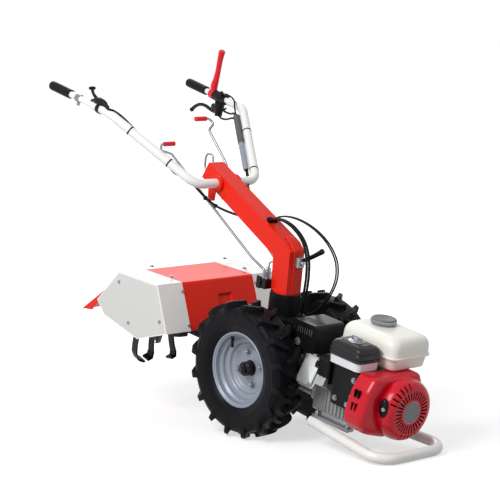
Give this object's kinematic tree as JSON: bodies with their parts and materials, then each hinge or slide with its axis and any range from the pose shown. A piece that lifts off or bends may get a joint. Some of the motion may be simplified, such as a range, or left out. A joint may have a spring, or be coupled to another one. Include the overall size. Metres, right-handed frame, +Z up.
{
  "type": "walking tractor with rear tiller",
  "caption": "Two-wheel walking tractor with a small front engine, bumper, swinging handlebar and a rear rotary tiller under a hood, parked nose down on its bumper.",
  "frame": {"origin": "on the floor, under the centre of the machine's box, as it stands parked on its wheels and bumper", "axes": "+X to the engine and bumper, +Y to the left, +Z up"},
  "size_m": [1.63, 0.7202, 1.3835],
  "materials": {
    "bare_aluminium": "matte",
    "black_casting": "satin",
    "black_paint": "satin",
    "black_plastic": "matte",
    "black_rubber": "matte",
    "cream_paint": "gloss",
    "crimson_paint": "gloss",
    "dark_plastic": "satin",
    "dark_steel": "matte",
    "grey_plastic": "matte",
    "red_paint": "gloss",
    "red_plastic": "gloss",
    "silver_paint": "satin",
    "tyre": "matte",
    "white_paint": "gloss",
    "white_plastic": "gloss",
    "zinc_steel": "satin"
  },
  "bodies": {
    "chassis": {"gearbox": "black_casting", "clutch_housing": "bare_aluminium", "engine_block": "bare_aluminium", "fan_shroud": "crimson_paint", "recoil_cover": "crimson_paint", "starter_grip": "black_plastic", "fuel_tank": "cream_paint", "fuel_cap": "zinc_steel", "air_cleaner_body": "white_plastic", "air_cleaner_cap": "dark_plastic", "carburettor_cover": "dark_plastic", "muffler": "dark_steel", "muffler_guard": "black_paint", "mount_channel": "zinc_steel", "bumper": "white_paint", "control_cables": "black_rubber", "tiller_case": "black_casting", "hood_centre": "red_paint", "hood_wing_left": "white_paint", "hood_wing_right": "white_paint"},
    "steering": {"column": "red_paint", "handlebar": "white_paint", "grip_left": "black_rubber", "grip_right": "black_rubber", "control_cluster": "black_plastic", "stop_lever": "red_plastic", "clutch_lever": "black_plastic", "throttle_lever": "black_plastic", "cable_conduit": "grey_plastic", "clamp_lever": "zinc_steel", "guide_hook": "zinc_steel", "linkage_block": "black_paint", "shift_rod_right": "zinc_steel", "shift_rod_left": "zinc_steel", "shift_knob_right": "red_plastic", "shift_knob_left": "red_plastic"},
    "wheel_left": {"tyre_left": "tyre", "rim_left": "silver_paint", "hub_left": "black_paint"},
    "wheel_right": {"tyre_right": "tyre", "rim_right": "silver_paint", "hub_right": "black_paint"},
    "rotor": {"rotor_shaft": "black_paint", "tines_left": "black_paint", "tines_right": "black_paint"},
    "flap": {"rear_flap": "red_paint"}
  },
  "joints": [
    {"name": "wheel_left_spin", "type": "hinge", "parent": "chassis", "child": "wheel_left", "pos_m": [0.14164, 0.184, 0.248], "axis": [0, 1, 0], "continuous": true},
    {"name": "wheel_right_spin", "type": "hinge", "parent": "chassis", "child": "wheel_right", "pos_m": [0.14164, -0.184, 0.248], "axis": [0, 1, 0], "continuous": true},
    {"name": "rotor_spin", "type": "hinge", "parent": "chassis", "child": "rotor", "pos_m": [-0.39322, 0, 0.35298], "axis": [0, 1, 0], "continuous": true},
    {"name": "handlebar_swing", "type": "hinge", "parent": "chassis", "child": "steering", "pos_m": [0.14833, 0, 0.50078], "axis": [0.1764, 0, 0.9843], "range_deg": [-30, 30], "deforming": ["control_cables"]},
    {"name": "rear_flap_hinge", "type": "hinge", "parent": "chassis", "child": "flap", "pos_m": [-0.53033, 0, 0.4893], "axis": [0, 1, 0], "range_deg": [0, 70]}
  ]
}
